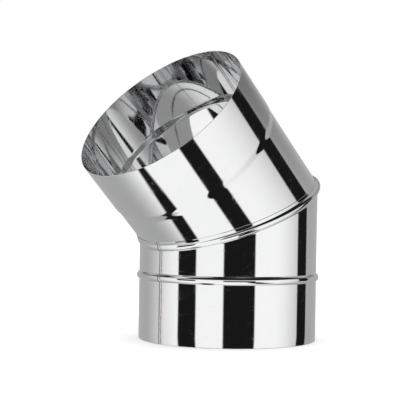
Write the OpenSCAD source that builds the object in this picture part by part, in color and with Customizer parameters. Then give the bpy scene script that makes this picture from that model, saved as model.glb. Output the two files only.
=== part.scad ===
// 45 degree flue elbow, single wall, bright stainless sheet.
//
// Two mitre-cut tube segments meet in a flat elliptical seam. Each segment is
// a strip of sheet rolled to a tube and closed by one lengthwise weld. The
// lower segment is the spigot: plain end with a slight lead-in, and a rolled
// rib that stops it in the next socket. The upper segment is the socket: its
// free end is expanded by a short step so the next spigot slides in.
// At the seam both sheets are rolled outward into one nested bead: the upper
// sheet is the inner layer, the lower sheet wraps over it and ends in a short
// collar that hugs the upper tube. The seam is an ellipse, so it cannot turn.
//
// Frame: millimetres, +Z up, origin at the centre of the spigot's rim, on the
// plane that the elbow stands on. The bend lies in the XZ plane and leans
// towards +X. The throat (short side) is at +X, the heel (long side) at -X.

/* [Tube] */
// Inner diameter of the flue, the nominal size
bore_d = 150; // [120:1:200]
// Sheet thickness
sheet = 0.5; // [0.4:0.1:0.8]
// Angle between the two tube axes
bend = 45; // [30:1:45]

/* [Spigot segment] */
// Height of the point where the two axes cross, above the spigot's rim
lower_h = 110; // [108:1:140]
// Length of the slight lead-in at the spigot's rim
lead_len = 6.5; // [4:0.5:8]
// How much the lead-in draws the rim in, on the radius
lead_in = 0.3; // [0.1:0.1:0.6]
// Height of the stop rib's lower edge, which is the insertion depth
rib_z = 50.5; // [45:0.5:52]
// Width of the stop rib along the tube
rib_w = 6.6; // [5:0.2:8]
// How far the stop rib stands out of the tube
rib_h = 2.2; // [1.6:0.1:2.6]

/* [Socket segment] */
// Length of the upper axis, from the crossing point to the socket's rim
upper_l = 112; // [110:1:140]
// Length of the expanded socket, from its rim to the step
socket_len = 47; // [42:0.5:50]
// Length of the step between the tube and the socket
step_len = 5; // [3:0.5:6]
// Gap on the radius between the socket and a spigot in it
socket_gap = 0.2; // [0.1:0.1:0.4]

/* [Mitre seam] */
// Width of the rolled bead that joins the segments
bead_w = 6.6; // [5.6:0.2:8]
// How far the bead stands out of the tube
bead_h = 2.2; // [1.8:0.1:2.6]
// Height of the collar above the bead
collar_h = 1.8; // [1:0.1:2.4]

/* [Welds] */
// Width of the lengthwise welds
weld_w = 2.1; // [1.6:0.1:3]
// How far a weld stands out of the sheet
weld_h = 0.12; // [0.05:0.01:0.2]

/* [Hidden] */
$fn = 180;
ri = bore_d / 2;                 // inner radius of both tubes
ro = ri + sheet;                 // outer radius of both tubes
si = ro + socket_gap;            // inner radius of the socket
so = si + sheet;                 // outer radius of the socket
half = bend / 2;                 // the mitre plane splits the bend in two
far = 4 * bore_d;
// A bead is an arc: half its width and its height give the arc's radius.
function arc_r(w, h) = (w * w / 4 + h * h) / (2 * h);
rib_r = arc_r(rib_w, rib_h);
rib_c = ro + rib_h - rib_r;      // the rib arc's centre, from the tube's axis
bead_r = arc_r(bead_w, bead_h);
bead_c = ro + bead_h - bead_r;
collar_top = bead_w / 2 + collar_h;
ease = 0.01;                     // keeps a flat-sided weld clear of a round sheet
bright = [0.86, 0.87, 0.88];
dull = [0.62, 0.64, 0.67];

// ---- places ---------------------------------------------------------------
module at_mitre() translate([0, 0, lower_h]) rotate([0, half, 0]) children();
module at_upper() translate([0, 0, lower_h]) rotate([0, bend, 0]) children();
// Everything between two planes parallel to the mitre plane.
module between(a, b)
    at_mitre() translate([-far / 2, -far / 2, a]) cube([far, far, b - a]);
module below_mitre() between(-far, 0);
module above_mitre() between(0, far);
// A thin wall of space in the bend plane, on the throat (1) or heel (-1) side.
module throat_slit() translate([0, -weld_w / 2, -10])
    cube([far, weld_w, far]);
module heel_slit() at_upper() translate([-far, -weld_w / 2, -far / 2])
    cube([far, weld_w, far]);

// ---- sheet profiles, as (radius, height) ------------------------------------
// Filled outline of the lower tube with its lead-in and stop rib: g makes it
// larger on the outside, and it starts e below the rim.
module lower_outline(r, arc, g = 0, e = 0) {
    polygon([[0, -e], [r - lead_in + g, -e], [r - lead_in + g, 0],
             [r + g, lead_len], [r + g, lower_h + 90], [0, lower_h + 90]]);
    translate([rib_c, rib_z + rib_w / 2]) circle(r = arc + g, $fn = 96);
}
// Filled outline of the upper tube with its socket, e past the rim.
module upper_outline(r, g = 0, e = 0) {
    step = si - ri;
    polygon([[0, -90], [r + g, -90],
             [r + g, upper_l - socket_len - step_len],
             [r + step + g, upper_l - socket_len],
             [r + step + g, upper_l + e], [0, upper_l + e]]);
}
module lower_solid(r, arc, g = 0, e = 0)
    intersection() { rotate_extrude() lower_outline(r, arc, g, e); below_mitre(); }
module upper_solid(r, g = 0, e = 0)
    intersection() { at_upper() rotate_extrude() upper_outline(r, g, e); above_mitre(); }
// Ring that follows the mitre ellipse: a circle stretched along the bend.
module mitre_ring(r) at_mitre() scale([1 / cos(half), 1, 1])
    rotate_extrude() translate([bead_c, 0]) circle(r = r, $fn = 96);

// ---- sheets -----------------------------------------------------------------
// Lower sheet: tube, outer layer of the bead, and the collar above it.
module lower_sheet() difference() {
    union() {
        lower_solid(ro, rib_r);
        mitre_ring(bead_r);
        intersection() {
            at_upper() cylinder(r = ro + sheet, h = 3 * bore_d, center = true);
            between(0, collar_top);
        }
    }
    lower_solid(ri, rib_r - sheet, 0, 5);
    mitre_ring(bead_r - sheet);
    upper_solid(ro);
}
// Upper sheet: tube and socket, and the inner layer of the bead.
module upper_sheet() difference() {
    union() {
        upper_solid(ro);
        mitre_ring(bead_r - sheet);
    }
    upper_solid(ri, 0, 5);
    lower_solid(ri, rib_r - sheet);
    mitre_ring(bead_r - 2 * sheet);
}

// ---- welds, as strips through the bend plane ----------------------------------
// A weld fills the slit that closes its tube, so it is the sheet's own section
// (x, z) drawn through the slit, with a low crown on the outside.
module strip() rotate([90, 0, 0]) linear_extrude(weld_w, center = true) children();
module at_mitre_2d() translate([0, lower_h]) rotate(-half) children();
module at_upper_2d() translate([0, lower_h]) rotate(-bend) children();
// The bead's arc where the ring crosses the plane: throat 1, heel -1.
module strip_ring(r, side) strip() at_mitre_2d() scale([1 / cos(half), 1])
    translate([side * bead_c, 0]) circle(r = r, $fn = 96);
module strip_lower(side, r, arc, g = 0, e = 0)
    intersection() { strip() scale([side, 1]) lower_outline(r, arc, g, e); below_mitre(); }
module strip_upper(side, r, g = 0, e = 0)
    intersection() { strip() at_upper_2d() scale([side, 1]) upper_outline(r, g, e); above_mitre(); }

// ---- sub-parts ----------------------------------------------------------------
module lower_segment() color(bright) difference() {
    lower_sheet();
    throat_slit();
}
module upper_segment() color(bright) difference() {
    upper_sheet();
    heel_slit();
}
module lower_weld() color(dull) difference() {
    union() {
        strip_lower(1, ro, rib_r, weld_h);
        strip_ring(bead_r + weld_h, 1);
        intersection() {
            strip() at_upper_2d() translate([0, -50])
                square([ro + sheet + weld_h, 200]);
            between(0, collar_top);
        }
    }
    strip_lower(1, ri, rib_r - sheet, 0, 5);
    strip_ring(bead_r - sheet, 1);
    strip_upper(1, ro);
}
module upper_weld() color(dull) difference() {
    union() {
        strip_upper(-1, ro - ease);
        // the crown starts above the collar
        intersection() {
            strip_upper(-1, ro, weld_h);
            between(collar_top + 0.3, far);
        }
        strip_ring(bead_r - sheet - ease, -1);
    }
    strip_upper(-1, ri, 0, 5);
    strip() translate([-ri, 0]) square([ri, lower_h + ri * tan(half)]);
    strip_ring(bead_r - 2 * sheet, -1);
}

lower_segment();
upper_segment();
lower_weld();
upper_weld();
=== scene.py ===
import math

import bpy
import numpy as np
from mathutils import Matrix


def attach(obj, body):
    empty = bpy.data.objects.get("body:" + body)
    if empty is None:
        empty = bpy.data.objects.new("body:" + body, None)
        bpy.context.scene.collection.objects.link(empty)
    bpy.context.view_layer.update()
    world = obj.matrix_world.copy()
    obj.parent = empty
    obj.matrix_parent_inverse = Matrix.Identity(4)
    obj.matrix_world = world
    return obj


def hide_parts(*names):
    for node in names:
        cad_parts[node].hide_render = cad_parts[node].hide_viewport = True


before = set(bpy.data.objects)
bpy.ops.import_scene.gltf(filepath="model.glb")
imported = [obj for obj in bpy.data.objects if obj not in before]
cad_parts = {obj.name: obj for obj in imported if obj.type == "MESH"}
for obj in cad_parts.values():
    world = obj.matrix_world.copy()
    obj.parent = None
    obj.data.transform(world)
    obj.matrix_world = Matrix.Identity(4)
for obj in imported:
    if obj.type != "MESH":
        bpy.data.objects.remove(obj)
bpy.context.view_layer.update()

MM = 0.001

# ---- the elbow's dimensions, in mm, as the CAD has them ---------------------
RI, SHEET = 75.0, 0.5
RO = RI + SHEET
SI = RO + 0.2
SO = SI + SHEET
BEND = math.radians(45.0)
HALF = BEND / 2
LOWER_H, UPPER_L = 110.0, 112.0
LEAD_LEN, LEAD_IN = 6.5, 0.3
RIB_Z, RIB_W, RIB_H = 50.5, 6.6, 2.2
SOCKET_LEN, STEP_LEN = 47.0, 5.0
BEAD_W, BEAD_H, COLLAR_H = 6.6, 2.2, 1.8
WELD_W, WELD_H = 2.1, 0.12


def arc_r(w, h):
    return (w * w / 4 + h * h) / (2 * h)


RIB_R = arc_r(RIB_W, RIB_H)
RIB_C = RO + RIB_H - RIB_R
RIB_MID = RIB_Z + RIB_W / 2
BEAD_R = arc_r(BEAD_W, BEAD_H)
BEAD_C = RO + BEAD_H - BEAD_R
COLLAR_TOP = BEAD_W / 2 + COLLAR_H
K = np.array([0.0, 0.0, 1.0])
A = np.array([math.sin(BEND), 0.0, math.cos(BEND)])
N = np.array([math.sin(HALF), 0.0, math.cos(HALF)])
E = np.array([math.cos(HALF), 0.0, -math.sin(HALF)])     # in the mitre plane, to the throat
U = np.array([math.cos(BEND), 0.0, -math.sin(BEND)])     # square to the upper axis, to the throat
Y = np.array([0.0, 1.0, 0.0])
O = np.array([0.0, 0.0, LOWER_H])


# ---- points on the sheet ----------------------------------------------------
# Every function takes angles t from the throat, as an array of columns, and
# gives one 3-D point per column.
def low_pt(t, r, z):
    return np.stack([r * np.cos(t), r * np.sin(t), z + 0 * t], -1)


def up_pt(t, r, s):
    c, n = (r * np.cos(t))[:, None], (r * np.sin(t))[:, None]
    return O + c * U + n * Y + np.asarray(s + 0 * t)[:, None] * A


def ring_pt(t, r, phi):
    q = BEAD_C + r * np.cos(phi)
    return (
        O
        + (q * np.cos(t) / math.cos(HALF))[:, None] * E
        + (q * np.sin(t))[:, None] * Y
        + (r * np.sin(phi))[:, None] * N
    )


def low_radius(p):
    return np.hypot(p[:, 0], p[:, 1])


def up_radius(p):
    w = p - O
    s = w @ A
    return np.linalg.norm(w - s[:, None] * A, axis=1)


def up_coords(p):
    w = p - O
    return np.arctan2(w @ Y, w @ U), w @ A


def crossing(t, r, radius, target, lo, hi):
    """The ring angle between lo and hi where the ring of arc radius r meets a tube of radius target."""
    lo, hi = lo + 0 * t, hi + 0 * t
    f_lo = radius(ring_pt(t, r, lo)) - target
    f_hi = radius(ring_pt(t, r, hi)) - target
    never = (f_lo > 0) == (f_hi > 0)
    nearest = np.where(np.abs(f_lo) < np.abs(f_hi), lo, hi)
    for _ in range(44):
        mid = (lo + hi) / 2
        f = radius(ring_pt(t, r, mid)) - target
        same = (f > 0) == (f_lo > 0)
        lo, hi = np.where(same, mid, lo), np.where(same, hi, mid)
    return np.where(never, nearest, (lo + hi) / 2)


def smax(a, b, k):
    return 0.5 * (a + b + np.sqrt((a - b) ** 2 + k * k))


def low_wall_r(z, inner):
    """Radius of the lower sheet at height z: lead-in at the rim and the rolled rib."""
    z = np.asarray(z, float)
    base = RI if inner else RO
    lead = np.clip(z / LEAD_LEN, 0, 1)
    lead = LEAD_IN * (1 - lead) ** 1.5
    arc = RIB_R - (SHEET if inner else 0)
    d = z - RIB_MID
    top = np.sqrt(np.maximum(arc * arc - d * d, 0.0)) + RIB_C - base
    top = np.where(np.abs(d) < arc * 0.98, top, -2.0)
    bump = smax(top, 0.0, 0.22) - 0.5 * 0.22 * np.exp(-(np.maximum(np.abs(d) - RIB_W / 2, 0)))
    near = np.clip((9.0 - np.abs(d)) / 4.0, 0, 1)
    return base - lead + np.maximum(bump, 0) * near


def up_wall_r(s, inner):
    """Radius of the upper sheet at s along its axis: the step out to the socket."""
    base = RI if inner else RO
    x = np.clip((np.asarray(s, float) - (UPPER_L - SOCKET_LEN - STEP_LEN)) / STEP_LEN, -0.25, 1.25)
    x = (x + 0.25) / 1.5
    return base + (SI - RI) * x * x * (3 - 2 * x)


def soften(path, sigma, spacing, count, keep=None):
    """Round the creases of each column's path and resample it evenly.

    path is (rows, columns, 3) and dense. sigma and spacing in mm."""
    seg = np.linalg.norm(np.diff(path, axis=0), axis=2)
    s = np.concatenate([np.zeros((1, path.shape[1])), np.cumsum(seg, 0)])
    total = s[-1]
    n = max(int(float(total.max()) / spacing), 8)
    u = np.linspace(0, 1, n + 1)
    out = np.empty((n + 1, path.shape[1], 3))
    for j in range(path.shape[1]):
        for c in range(3):
            out[:, j, c] = np.interp(u * total[j], s[:, j], path[:, j, c])
    half = int(3 * sigma / spacing) + 1
    k = np.exp(-0.5 * (np.arange(-half, half + 1) * spacing / sigma) ** 2)
    k /= k.sum()
    a = out[:1] + (out[:1] - out[1:2]) * np.arange(half, 0, -1)[:, None, None]
    b = out[-1:] + (out[-1:] - out[-2:-1]) * np.arange(1, half + 1)[:, None, None]
    pad = np.concatenate([a, out, b])
    sm = sum(k[i] * pad[i : i + n + 1] for i in range(2 * half + 1))
    pick = np.round(np.linspace(0, n, count)).astype(int)
    return sm[pick]


# ---- small unevenness of the rolled sheet ------------------------------------
RNG = np.random.default_rng(7)
WAVES = []
for _ in range(26):
    m = int(RNG.integers(1, 9))
    WAVES.append((m, RNG.uniform(0.02, 0.11), RNG.uniform(0, 2 * math.pi), RNG.uniform(0.4, 1.0) / (1 + 0.7 * m)))


def uneven(t, h, seed):
    """A slow, smooth displacement in mm, about 1 at most, over angle t and height h."""
    v = 0
    for i, (m, kz, ph, amp) in enumerate(WAVES):
        v = v + amp * np.sin(m * t + kz * h + ph + seed * (i + 1) * 1.7)
    return v / 2.2


def columns(gap, n):
    d = math.asin(WELD_W / 2 / RO)
    return np.linspace(gap + d, gap + 2 * math.pi - d, n)


def finish_mesh(name, verts, faces, smooth_angle=35):
    me = bpy.data.meshes.new(name)
    me.from_pydata(verts, [], faces)
    me.validate(clean_customdata=False)
    import bmesh
    bm = bmesh.new()
    bm.from_mesh(me)
    bmesh.ops.recalc_face_normals(bm, faces=bm.faces)
    for f in bm.faces:
        f.smooth = True
    lim = math.radians(smooth_angle)
    for e in bm.edges:
        if len(e.link_faces) == 2:
            e.smooth = e.calc_face_angle(0.0) < lim
    bm.to_mesh(me)
    bm.free()
    ob = bpy.data.objects.new(name, me)
    bpy.context.scene.collection.objects.link(ob)
    return ob


def shell_from_loops(name, loops, pair):
    """loops: (rows, columns, 3), each column a closed loop round the sheet's section.

    pair: row i of the outside faces row pair[i] of the inside, used for the end caps."""
    r, c, _ = loops.shape
    verts = (loops.reshape(-1, 3) * MM).tolist()
    faces = []
    for i in range(r):
        i2 = (i + 1) % r
        a, b = i * c, i2 * c
        for j in range(c - 1):
            faces.append((a + j, a + j + 1, b + j + 1, b + j))
    # end caps: strips of quads between the outer and the inner path
    for j in (0, c - 1):
        n_out, n_in = pair
        outer = list(range(0, n_out))
        inner = list(range(r - 1, n_out - 1, -1))
        i, k = 0, 0
        while i < len(outer) - 1 or k < len(inner) - 1:
            fo = (i + 1) / max(len(outer) - 1, 1) if i < len(outer) - 1 else 9
            fi = (k + 1) / max(len(inner) - 1, 1) if k < len(inner) - 1 else 9
            if fo <= fi:
                faces.append((outer[i] * c + j, outer[i + 1] * c + j, inner[k] * c + j))
                i += 1
            else:
                faces.append((outer[i] * c + j, inner[k + 1] * c + j, inner[k] * c + j))
                k += 1
    return finish_mesh(name, verts, faces)


EDGE = 0.12  # rounding of a cut edge, mm


def lower_paths(t):
    """Outer and inner path of the lower sheet for columns t, from the rim to the collar's top."""
    # -- outside
    phi_lo = crossing(t, BEAD_R, low_radius, RO, -math.pi / 2, 0.0)
    phi_hi = crossing(t, BEAD_R, up_radius, RO + SHEET, 0.0, math.pi / 2)
    p_lo = ring_pt(t, BEAD_R, phi_lo)
    p_hi = ring_pt(t, BEAD_R, phi_hi)
    t_lo = np.arctan2(p_lo[:, 1], p_lo[:, 0])
    t_lo = t_lo + 2 * math.pi * np.round((t - t_lo) / (2 * math.pi))
    z_c = p_lo[:, 2]
    start = z_c - 7.0

    def wall(z, r, blend):
        return low_pt(t + (t_lo - t) * blend, r, z)

    rows = []
    zs = np.concatenate([
        [EDGE, 0.6, 1.4, 2.4, 3.5, 4.6, 5.6, 6.5, 7.5, 10, 15, 21, 27, 33, 38, 42, 45, 47, 48.2, 49.0],
        np.linspace(49.5, 58.1, 30), [58.6, 59.4, 60.6, 62.5, 65.0]])
    for z in zs:
        rows.append(wall(z + 0 * t, low_wall_r(z, False) + 0 * t, 0.0))
    for f in np.linspace(0, 1, 14)[1:-1]:
        z = 65.0 + (start - 65.0) * f
        rows.append(wall(z, RO + 0 * t, f))
    dense = [wall(start + (z_c - start) * f, RO + 0 * t, 1.0) for f in np.linspace(0, 1, 50)]
    dense += [ring_pt(t, BEAD_R, phi_lo + (phi_hi - phi_lo) * f) for f in np.linspace(0, 1, 90)[1:]]
    t_u, s_u = up_coords(p_hi)
    t_u = t_u + 2 * math.pi * np.round((t - t_u) / (2 * math.pi))
    s_top = COLLAR_TOP / math.cos(HALF) + RO * np.cos(t) * math.tan(HALF)
    dense += [up_pt(t_u, RO + SHEET + 0 * t, s_u + (s_top - s_u) * f) for f in np.linspace(0, 1, 30)[1:]]
    outer = np.concatenate([np.array(rows), soften(np.array(dense), 0.34, 0.08, 56)])
    # -- inside
    r_in = BEAD_R - SHEET
    phi_lo = crossing(t, r_in, low_radius, RI, -math.pi / 2, 0.0)
    phi_hi = crossing(t, r_in, up_radius, RO, 0.0, math.pi / 2)
    p_lo = ring_pt(t, r_in, phi_lo)
    p_hi = ring_pt(t, r_in, phi_hi)
    t_lo = np.arctan2(p_lo[:, 1], p_lo[:, 0])
    t_lo = t_lo + 2 * math.pi * np.round((t - t_lo) / (2 * math.pi))
    z_c = p_lo[:, 2]
    start = z_c - 7.0
    rows = []
    for z in zs:
        rows.append(wall(z + 0 * t, low_wall_r(z, True) + 0 * t, 0.0))
    for f in np.linspace(0, 1, 14)[1:-1]:
        z = 65.0 + (start - 65.0) * f
        rows.append(wall(z, RI + 0 * t, f))
    dense = [wall(start + (z_c - start) * f, RI + 0 * t, 1.0) for f in np.linspace(0, 1, 50)]
    dense += [ring_pt(t, r_in, phi_lo + (phi_hi - phi_lo) * f) for f in np.linspace(0, 1, 90)[1:]]
    t_u, s_u = up_coords(p_hi)
    t_u = t_u + 2 * math.pi * np.round((t - t_u) / (2 * math.pi))
    dense += [up_pt(t_u, RO + 0.01 + 0 * t, s_u + (s_top - s_u) * f) for f in np.linspace(0, 1, 30)[1:]]
    inner = np.concatenate([np.array(rows), soften(np.array(dense), 0.2, 0.08, 56)])
    return outer, inner


def upper_paths(t):
    """Outer and inner path of the upper sheet for columns t, from the bead's hidden edge to the socket's rim."""
    outs = []
    for r_ring, r_wall, inner in ((BEAD_R - SHEET - 0.01, RO, False), (BEAD_R - 2 * SHEET, RI, True)):
        phi_lo = crossing(t, r_ring, low_radius, RI, -math.pi / 2, 0.0)
        phi_hi = crossing(t, r_ring, up_radius, r_wall, 0.0, math.pi / 2)
        p_hi = ring_pt(t, r_ring, phi_hi)
        t_u, s_u = up_coords(p_hi)
        t_u = t_u + 2 * math.pi * np.round((t - t_u) / (2 * math.pi))
        dense = [ring_pt(t, r_ring, phi_lo + (phi_hi - phi_lo) * f) for f in np.linspace(0, 1, 90)]
        end = s_u + 6.0
        dense += [up_pt(t_u, r_wall + 0 * t, s_u + 6.0 * f) for f in np.linspace(0, 1, 50)[1:]]
        part = soften(np.array(dense), 0.2 if inner else 0.12, 0.08, 44)
        rows = []
        s_k = UPPER_L - SOCKET_LEN - STEP_LEN - 2.0
        for f in np.linspace(0, 1, 14)[1:-1]:
            s = end + (s_k - end) * f
            rows.append(up_pt(t_u + (t - t_u) * f, up_wall_r(s, inner) + 0 * t, s))
        for s in np.concatenate([np.linspace(s_k, s_k + 9.5, 22),
                                 [UPPER_L - v for v in (40, 34, 27, 20, 14, 9, 6, 4, 2.6, 1.5, 0.7, EDGE)]]):
            rows.append(up_pt(t, up_wall_r(s, inner) + 0 * t, s + 0 * t))
        outs.append(np.concatenate([part, np.array(rows)]))
    return outs


def with_edges(outer, inner):
    """Close the loop of outer path and inner path with slightly rounded cut edges."""
    def edge(a, b, away):
        # from the end of path a to the end of path b, bulging along away
        m = (a + b) / 2
        d = b - a
        return [a + d * 0.18 + away * EDGE * 0.85, a + d * 0.5 + away * EDGE, a + d * 0.82 + away * EDGE * 0.85]

    top_dir = outer[-1] - outer[-2]
    top_dir /= np.linalg.norm(top_dir, axis=1)[:, None]
    bot_dir = outer[0] - outer[1]
    bot_dir /= np.linalg.norm(bot_dir, axis=1)[:, None]
    top = edge(outer[-1], inner[-1], top_dir)
    bot = edge(inner[0], outer[0], bot_dir)
    loops = np.concatenate([outer, np.array(top), inner[::-1], np.array(bot)])
    return loops, len(outer) + 1


def displaced(paths, seed, amp, upper):
    """Move the outer path along the sheet's normal by a little unevenness; the inner path stays where it is."""
    outer, inner = paths
    for p in (outer, inner):
        flat = p.reshape(-1, 3)
        if upper:
            w = flat - O
            s = w @ A
            rad = w - s[:, None] * A
            t = np.arctan2(w @ Y, w @ U)
            h = s
            fade = np.clip((flat - O) @ N / 14.0, 0, 1)
        else:
            rad = flat * np.array([1, 1, 0])
            t = np.arctan2(flat[:, 1], flat[:, 0])
            h = flat[:, 2]
            fade = np.clip(-((flat - O) @ N) / 14.0, 0, 1) * np.clip(h / 12.0, 0.0, 1)
        rad /= np.linalg.norm(rad, axis=1)[:, None]
        d = (amp if p is outer else 0.0) * uneven(t, h, seed) * fade
        flat += rad * d[:, None]
    return outer, inner


N_COL = 540
t_low = columns(0.0, N_COL)
t_up = columns(math.pi, N_COL)
lp = displaced(lower_paths(t_low), 1.0, 0.02, False)
loops, n_out = with_edges(*lp)
lower = shell_from_loops("lower_sheet", loops, (len(lp[0]), 0))
up = displaced(upper_paths(t_up), 2.0, 0.02, True)
loops, n_out = with_edges(*up)
upper = shell_from_loops("upper_sheet", loops, (len(up[0]), 0))


# ---- welds --------------------------------------------------------------------
def weld_mesh(name, paths_at, centre, seed, crown, crown_fade):
    half = math.asin(WELD_W / 2 / RO)
    # across the weld: a low crown between two fine edge grooves
    xs = np.array([-1.0, -0.94, -0.86, -0.74, -0.6, -0.48, -0.3, -0.14, 0.0, 0.14, 0.3, 0.48, 0.6, 0.74, 0.86, 0.94, 1.0])
    lift = np.array([0.0, -0.06, -0.12, -0.15, -0.10, 0.02, 0.09, 0.115, 0.12, 0.115, 0.09, 0.02, -0.10, -0.15, -0.12, -0.06, 0.0])
    t = centre + xs * half
    outer, inner = paths_at(t)
    mid = len(xs) // 2
    # fine rows along the weld for its ripple
    def fine(path, step):
        seg = np.linalg.norm(np.diff(path[:, mid], axis=0), axis=1)
        s = np.concatenate([[0], np.cumsum(seg)])
        n = max(int(s[-1] / step), 4)
        q = np.linspace(0, s[-1], n + 1)
        out = np.empty((n + 1, path.shape[1], 3))
        for j in range(path.shape[1]):
            for c in range(3):
                out[:, j, c] = np.interp(q, s, path[:, j, c])
        return out, q
    outer, q = fine(outer, 0.22)
    inner, _ = fine(inner, 0.9)
    d = np.gradient(outer, axis=0)
    across = np.gradient(outer, axis=1)
    nrm = np.cross(across, d)
    nrm /= np.linalg.norm(nrm, axis=2)[..., None] + 1e-12
    # make it point out of the duct
    if (nrm[2, mid] @ (outer[2, mid] - inner[2, mid])) < 0:
        nrm = -nrm
    rng = np.random.default_rng(seed)
    slow = np.interp(q, np.linspace(0, q[-1], 40), rng.uniform(0.8, 1.1, 40))
    ripple = 0.018 * np.sin(2 * math.pi * q / 0.95 + 0.6 * np.sin(q / 7.0))
    body = lift[None, :] * slow[:, None] * crown
    body = body + ripple[:, None] * np.clip(1 - np.abs(xs) * 1.25, 0, 1)[None, :]
    fade = crown_fade(outer[:, mid])
    body = np.where(body > 0, body * fade[:, None], body * fade[:, None])
    outer = outer + nrm * body[..., None]
    r = len(outer)
    loops = np.concatenate([outer, inner[::-1]])
    rr, c, _ = loops.shape
    verts = (loops.reshape(-1, 3) * MM).tolist()
    faces = []
    for i in range(rr):
        i2 = (i + 1) % rr
        a, b = i * c, i2 * c
        for j in range(c - 1):
            faces.append((a + j, a + j + 1, b + j + 1, b + j))
    for j in (0, c - 1):
        o = list(range(0, r))
        n = list(range(rr - 1, r - 1, -1))
        i, k = 0, 0
        while i < len(o) - 1 or k < len(n) - 1:
            fo = (i + 1) / (len(o) - 1) if i < len(o) - 1 else 9
            fi = (k + 1) / (len(n) - 1) if k < len(n) - 1 else 9
            if fo <= fi:
                faces.append((o[i] * c + j, o[i + 1] * c + j, n[k] * c + j)); i += 1
            else:
                faces.append((o[i] * c + j, n[k + 1] * c + j, n[k] * c + j)); k += 1
    return finish_mesh(name, verts, faces, 60)


w_low = weld_mesh("throat_weld", lower_paths, 0.0, 3, 1.0, lambda p: np.ones(len(p)))
w_up = weld_mesh("heel_weld", upper_paths, math.pi, 4, 1.0,
                 lambda p: np.clip(((p - O) @ N - COLLAR_TOP) / 1.2, 0, 1))

for ob, node, slot in ((lower, "lower_segment", "bright_stainless"), (upper, "upper_segment", "bright_stainless"),
                       (w_low, "lower_weld", "weld_stainless"), (w_up, "upper_weld", "weld_stainless")):
    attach(ob, "root")
    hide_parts(node)


# ---- materials ------------------------------------------------------------------
def new_material(name):
    m = bpy.data.materials.new(name)
    m.use_nodes = True
    nt = m.node_tree
    bsdf = nt.nodes["Principled BSDF"]
    return m, nt, bsdf


class Graph:
    """A few short calls for building a node tree."""

    def __init__(self, nt):
        self.nt = nt

    def node(self, kind, **props):
        n = self.nt.nodes.new(kind)
        for k, v in props.items():
            setattr(n, k, v)
        return n

    def link(self, a, b):
        self.nt.links.new(a, b)

    def coords(self, tilt, scale):
        """Object coordinates in metres, turned so that the tube's axis is Z, then scaled."""
        tc = self.node("ShaderNodeTexCoord")
        rot = self.node("ShaderNodeMapping")
        rot.inputs["Rotation"].default_value = (0, -tilt, 0)
        sc = self.node("ShaderNodeMapping")
        sc.inputs["Scale"].default_value = scale
        self.link(tc.outputs["Object"], rot.inputs["Vector"])
        self.link(rot.outputs["Vector"], sc.inputs["Vector"])
        return sc.outputs["Vector"]

    def noise(self, vec, scale, detail=3.0, rough=0.5, distort=0.0):
        n = self.node("ShaderNodeTexNoise")
        n.inputs["Scale"].default_value = scale
        n.inputs["Detail"].default_value = detail
        n.inputs["Roughness"].default_value = rough
        n.inputs["Distortion"].default_value = distort
        self.link(vec, n.inputs["Vector"])
        return n.outputs["Fac"]

    def ramp(self, fac, stops):
        n = self.node("ShaderNodeValToRGB")
        e = n.color_ramp.elements
        while len(e) > 2:
            e.remove(e[-1])
        for i, (p, c) in enumerate(stops):
            c = c if isinstance(c, tuple) else (c, c, c)
            el_ = e[i] if i < 2 else e.new(p)
            el_.position = p
            el_.color = (*c, 1)
        self.link(fac, n.inputs["Fac"])
        return n.outputs["Color"]

    def math(self, op, a, b=None, clamp=False):
        n = self.node("ShaderNodeMath", operation=op, use_clamp=clamp)
        for i, v in enumerate((a, b)):
            if v is None:
                continue
            if isinstance(v, (int, float)):
                n.inputs[i].default_value = v
            else:
                self.link(v, n.inputs[i])
        return n.outputs[0]

    def mix(self, fac, a, b, blend="MIX"):
        n = self.node("ShaderNodeMix", data_type="RGBA", blend_type=blend)
        if isinstance(fac, (int, float)):
            n.inputs[0].default_value = fac
        else:
            self.link(fac, n.inputs[0])
        for sock, v in ((n.inputs[6], a), (n.inputs[7], b)):
            if isinstance(v, tuple):
                sock.default_value = (*v, 1)
            else:
                self.link(v, sock)
        return n.outputs[2]


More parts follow.
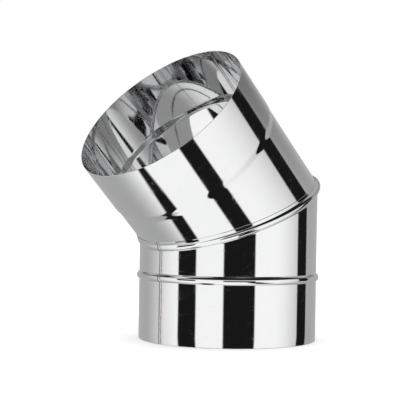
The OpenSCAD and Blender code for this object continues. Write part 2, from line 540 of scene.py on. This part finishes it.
def sheet_steel(name, tilt, seam_side):
    """Bright-annealed stainless sheet: near mirror, with rolling grain, hairline
    scratches, handling smudges and a faint heat tint beside the weld."""
    m, nt, b = new_material(name)
    g = Graph(nt)
    b.inputs["Metallic"].default_value = 1.0
    grain = g.noise(g.coords(tilt, (1.0, 1.0, 26.0)), 46.0, 4.0, 0.62)
    cloud = g.noise(g.coords(tilt, (1.0, 1.0, 0.7)), 14.0, 3.0, 0.55)
    smudge = g.noise(g.coords(tilt, (1.0, 1.0, 1.6)), 34.0, 5.0, 0.62, 0.6)
    scratch_a = g.noise(g.coords(tilt + 0.05, (2.5, 2.5, 90.0)), 21.0, 2.0, 0.5, 0.25)
    scratch_b = g.noise(g.coords(tilt - 0.32, (90.0, 70.0, 3.0)), 9.0, 1.0, 0.5, 0.3)
    lines_a = g.ramp(scratch_a, [(0.665, 0.0), (0.70, 1.0)])
    lines_b = g.ramp(scratch_b, [(0.70, 0.0), (0.735, 1.0)])
    lines = g.math("MAXIMUM", lines_a, lines_b)
    dirt = g.ramp(smudge, [(0.50, 0.0), (0.74, 1.0)])

    # heat tint: within a few millimetres of the lengthwise weld, on its own side of the tube
    tc = g.node("ShaderNodeTexCoord")
    sep = g.node("ShaderNodeSeparateXYZ")
    g.link(tc.outputs["Object"], sep.inputs[0])
    near = g.math("ABSOLUTE", sep.outputs["Y"])
    near = g.math("DIVIDE", near, 0.0042)
    near = g.math("SUBTRACT", 1.0, near, True)
    across = g.math("MULTIPLY", sep.outputs["X"], seam_side[0])
    across = g.math("ADD", across, g.math("MULTIPLY", sep.outputs["Z"], seam_side[1]))
    across = g.math("SUBTRACT", across, seam_side[2])
    side = g.math("GREATER_THAN", across, 0.0)
    heat = g.math("MULTIPLY", near, side)
    wob = g.noise(g.coords(tilt, (1.0, 1.0, 1.0)), 160.0, 2.0)
    heat = g.math("MULTIPLY", heat, g.math("ADD", wob, 0.45), True)

    base = g.ramp(cloud, [(0.30, (0.700, 0.703, 0.709)), (0.70, (0.734, 0.735, 0.737))])
    base = g.mix(g.math("MULTIPLY", grain, 0.10), base, (0.66, 0.662, 0.668))
    base = g.mix(g.math("MULTIPLY", dirt, 0.09), base, (0.58, 0.575, 0.56))
    base = g.mix(g.math("MULTIPLY", lines, 0.16), base, (0.52, 0.52, 0.53))
    base = g.mix(g.math("MULTIPLY", heat, 0.42), base, (0.50, 0.42, 0.33))
    # a near-black line just outside the weld's edge, on the seam side: partly oxide scale, partly painted shade
    # of the undercut groove at the weld's toe
    toe_scale_and_groove_shade = g.math("ABSOLUTE", g.math("SUBTRACT", g.math("ABSOLUTE", sep.outputs["Y"]), 0.00128))
    toe_scale_and_groove_shade = g.math("SUBTRACT", 1.25, g.math("DIVIDE", toe_scale_and_groove_shade, 0.00038), True)
    toe_scale_and_groove_shade = g.math("MULTIPLY", toe_scale_and_groove_shade, side)
    base = g.mix(g.math("MULTIPLY", toe_scale_and_groove_shade, 0.88), base, (0.035, 0.034, 0.036))
    g.link(base, b.inputs["Base Color"])

    rough = g.math("ADD", 0.018, g.math("MULTIPLY", grain, 0.030))
    rough = g.math("ADD", rough, g.math("MULTIPLY", dirt, 0.050))
    rough = g.math("ADD", rough, g.math("MULTIPLY", lines, 0.10))
    rough = g.math("ADD", rough, g.math("MULTIPLY", heat, 0.10))
    rough = g.math("ADD", rough, g.math("MULTIPLY", toe_scale_and_groove_shade, 0.20))
    g.link(rough, b.inputs["Roughness"])

    height = g.math("SUBTRACT", g.math("MULTIPLY", grain, 0.5), g.math("MULTIPLY", lines, 0.8))
    bump = g.node("ShaderNodeBump")
    bump.inputs["Strength"].default_value = 0.02
    bump.inputs["Distance"].default_value = 0.00004
    g.link(height, bump.inputs["Height"])
    g.link(bump.outputs["Normal"], b.inputs["Normal"])
    return m


def weld_steel(name, tilt):
    """Weld metal: duller than the sheet, near-black along both edges (partly oxide scale, partly painted shade of
    the edge grooves), with ripple tint.
    """
    m, nt, b = new_material(name)
    g = Graph(nt)
    b.inputs["Metallic"].default_value = 1.0
    tc = g.node("ShaderNodeTexCoord")
    sep = g.node("ShaderNodeSeparateXYZ")
    g.link(tc.outputs["Object"], sep.inputs[0])
    off = g.math("DIVIDE", g.math("ABSOLUTE", sep.outputs["Y"]), WELD_W / 2 * MM)
    wob = g.noise(g.coords(tilt, (1.0, 1.0, 1.0)), 420.0, 3.0)
    off = g.math("ADD", off, g.math("MULTIPLY", g.math("SUBTRACT", wob, 0.5), 0.30))
    # painted shade: near-black along both edges, over the modelled edge grooves; partly also oxide scale
    edge = g.ramp(off, [(0.74, 0.0), (0.95, 1.0)])
    fine = g.noise(g.coords(tilt, (1.0, 1.0, 3.0)), 900.0, 3.0, 0.6)
    tint = g.noise(g.coords(tilt, (1.0, 1.0, 1.0)), 70.0, 2.0)
    core = g.ramp(tint, [(0.32, (0.70, 0.68, 0.65)), (0.52, (0.78, 0.78, 0.78)), (0.70, (0.65, 0.68, 0.73))])
    core = g.mix(g.math("MULTIPLY", fine, 0.20), core, (0.45, 0.45, 0.46))
    base = g.mix(edge, core, (0.035, 0.034, 0.036))
    g.link(base, b.inputs["Base Color"])
    rough = g.math("ADD", 0.13, g.math("MULTIPLY", fine, 0.16))
    rough = g.math("ADD", rough, g.math("MULTIPLY", edge, 0.22))
    g.link(rough, b.inputs["Roughness"])
    bump = g.node("ShaderNodeBump")
    bump.inputs["Strength"].default_value = 0.25
    bump.inputs["Distance"].default_value = 0.00005
    g.link(fine, bump.inputs["Height"])
    g.link(bump.outputs["Normal"], b.inputs["Normal"])
    return m


lower.data.materials.append(sheet_steel("bright_stainless_lower", 0.0, (1.0, 0.0, 0.03)))
# the heel side of the upper tube: where -x + z is large
upper.data.materials.append(sheet_steel("bright_stainless_upper", BEND, (-0.7071, 0.7071, 0.1078)))
w_low.data.materials.append(weld_steel("weld_stainless_throat", 0.0))
w_up.data.materials.append(weld_steel("weld_stainless_heel", BEND))


# ---- camera ---------------------------------------------------------------------
def rz(a):
    c, s = math.cos(a), math.sin(a)
    return np.array([[c, -s, 0], [s, c, 0], [0, 0, 1.0]])


def rot(axis, ang):
    a = np.asarray(axis, float) / np.linalg.norm(axis)
    k = np.array([[0, -a[2], a[1]], [a[2], 0, -a[0]], [-a[1], a[0], 0]])
    return np.eye(3) + math.sin(ang) * k + (1 - math.cos(ang)) * k @ k


CAM_DIST, CAM_H = 1049.2, 120.8          # from the lower tube's axis, and above its rim, mm
LEAN = math.radians(223.74)              # where the bend leans, seen with the camera at -Y
YAW, PITCH, ROLL = 0.02343, -0.00298, -0.01570
FOCAL_PX = 1226.15
pos = np.array([0.0, -CAM_DIST, CAM_H])
fwd, right, upv = np.array([0, 1.0, 0]), np.array([1.0, 0, 0]), np.array([0, 0, 1.0])
M = rot([0, 0, 1], YAW); fwd, right, upv = M @ fwd, M @ right, M @ upv
M = rot(right, PITCH); fwd, upv = M @ fwd, M @ upv
M = rot(fwd, ROLL); right, upv = M @ right, M @ upv
B = rz(-LEAN)
pos, fwd, right, upv = B @ pos, B @ fwd, B @ right, B @ upv
cam_data = bpy.data.cameras.new("camera")
cam_data.sensor_fit = "HORIZONTAL"
cam_data.sensor_width = 36.0
cam_data.lens = FOCAL_PX / 400.0 * 36.0
cam_data.clip_start, cam_data.clip_end = 0.02, 60.0
cam = bpy.data.objects.new("camera", cam_data)
bpy.context.scene.collection.objects.link(cam)
from mathutils import Matrix
cam.matrix_world = Matrix((
    (right[0], upv[0], -fwd[0], pos[0] * MM),
    (right[1], upv[1], -fwd[1], pos[1] * MM),
    (right[2], upv[2], -fwd[2], pos[2] * MM),
    (0, 0, 0, 1)))
bpy.context.scene.camera = cam

# ---- floor ------------------------------------------------------------------------
me = bpy.data.meshes.new("floor")
S = 6.0
me.from_pydata([(-S, -S, -0.0002), (S, -S, -0.0002), (S, S, -0.0002), (-S, S, -0.0002)], [], [(0, 1, 2, 3)])
floor = bpy.data.objects.new("floor", me)
bpy.context.scene.collection.objects.link(floor)
m, nt, b = new_material("floor_white")
b.inputs["Base Color"].default_value = (0.9, 0.9, 0.9, 1)
b.inputs["Roughness"].default_value = 0.9
b.inputs["Specular IOR Level"].default_value = 0.0
me.materials.append(m)
floor.visible_glossy = False

# ---- studio: a plain soft surround with five rectangular black flags ----------
# It is a dome seen only in reflections. Directions are (azimuth, elevation) in
# degrees: azimuth 0 points from the object to the camera, and positive is to
# the camera's right. It has three brightnesses, and soft edges between them.
CAM_AZ = math.atan2(pos[1], pos[0])
DOME_R = 5.0
WHITE, GREY, BLACK = 1.25, 0.5, 0.012
# standing flags: azimuth from, to, elevation from, to
STANDING = [(-65, -40, -20, 10), (-5, 35, -25, 5), (100, 120, -20, 20)]
# flags lying on the floor, in degrees from straight down: to the right from, to, to the camera from, to
LYING = [(-20, -10, -10, 15), (25, 45, 10, 55)]


def ramp(v, v0, v1):
    f = np.clip((v - v0) / (v1 - v0), 0, 1)
    return f * f * (3 - 2 * f)


def box(u, v, u0, u1, v0, v1, soft=2.0):
    """1 inside the rectangle, 0 outside, with soft edges."""
    h = soft / 2
    return (ramp(u, u0 - h, u0 + h) * (1 - ramp(u, u1 - h, u1 + h))
            * ramp(v, v0 - h, v0 + h) * (1 - ramp(v, v1 - h, v1 + h)))


def radiance(az, el):
    side = ramp(np.abs(az), 60, 130)
    v = WHITE + (GREY - WHITE) * side                        # the surround darkens to the back
    v = v + (BLACK - v) * ramp(el, 10, 30)                   # dark ceiling
    v = v + GREY * box(np.abs(az), el, 120, 200, 25, 65, 10)  # softbox over the back
    v = v + WHITE * box(az, el, -90, -60, 35, 65, 4)         # softbox over the left
    for u0, u1, v0, v1 in STANDING:
        v = v + (BLACK - v) * box(az, el, u0, u1, v0, v1)
    r = np.radians(az)
    x, y = np.sin(r) * (90 + el), np.cos(r) * (90 + el)
    for u0, u1, v0, v1 in LYING:
        v = v + (BLACK - v) * box(x, y, u0, u1, v0, v1)
    return v


az = np.linspace(-180, 180, 481)
el = np.linspace(-90, 90, 241)
AZ, EL = np.meshgrid(az, el)
lv = radiance(AZ, EL)
t = CAM_AZ + np.radians(AZ)
er = np.radians(EL)
V = np.stack([DOME_R * np.cos(er) * np.cos(t), DOME_R * np.cos(er) * np.sin(t), DOME_R * np.sin(er) + 0.1], -1)
rows_, cols_ = AZ.shape
idx = np.arange(rows_ * cols_).reshape(rows_, cols_)
F = np.stack([idx[:-1, :-1], idx[:-1, 1:], idx[1:, 1:], idx[1:, :-1]], -1).reshape(-1, 4)
me = bpy.data.meshes.new("dome")
me.from_pydata(V.reshape(-1, 3).tolist(), [], F.tolist())
attr = me.attributes.new("level", "FLOAT", "POINT")
attr.data.foreach_set("value", lv.ravel().astype(np.float32))
dome = bpy.data.objects.new("dome", me)
bpy.context.scene.collection.objects.link(dome)
m = bpy.data.materials.new("dome")
m.use_nodes = True
nt = m.node_tree
nt.nodes.clear()
out = nt.nodes.new("ShaderNodeOutputMaterial")
em = nt.nodes.new("ShaderNodeEmission")
att = nt.nodes.new("ShaderNodeAttribute")
att.attribute_name = "level"
nt.links.new(att.outputs["Fac"], em.inputs["Strength"])
nt.links.new(em.outputs[0], out.inputs["Surface"])
me.materials.append(m)
m.cycles.emission_sampling = "NONE"
dome.visible_camera = False
dome.visible_diffuse = False
dome.visible_shadow = False
dome.visible_transmission = False

world = bpy.data.worlds.new("studio")
bpy.context.scene.world = world
world.use_nodes = True
nt = world.node_tree
nt.nodes.clear()
out = nt.nodes.new("ShaderNodeOutputWorld")
bg_cam = nt.nodes.new("ShaderNodeBackground")
bg_all = nt.nodes.new("ShaderNodeBackground")
mix = nt.nodes.new("ShaderNodeMixShader")
lp_ = nt.nodes.new("ShaderNodeLightPath")
bg_cam.inputs[0].default_value = (1, 1, 1, 1)
bg_cam.inputs[1].default_value = 1.0
bg_all.inputs[0].default_value = (1, 1, 1, 1)
bg_all.inputs[1].default_value = 1.6
nt.links.new(lp_.outputs["Is Camera Ray"], mix.inputs[0])
nt.links.new(bg_all.outputs[0], mix.inputs[1])
nt.links.new(bg_cam.outputs[0], mix.inputs[2])
nt.links.new(mix.outputs[0], out.inputs[0])

sc = bpy.context.scene
sc.view_settings.view_transform = "Standard"
sc.cycles.glossy_bounces = 12
sc.cycles.max_bounces = 14
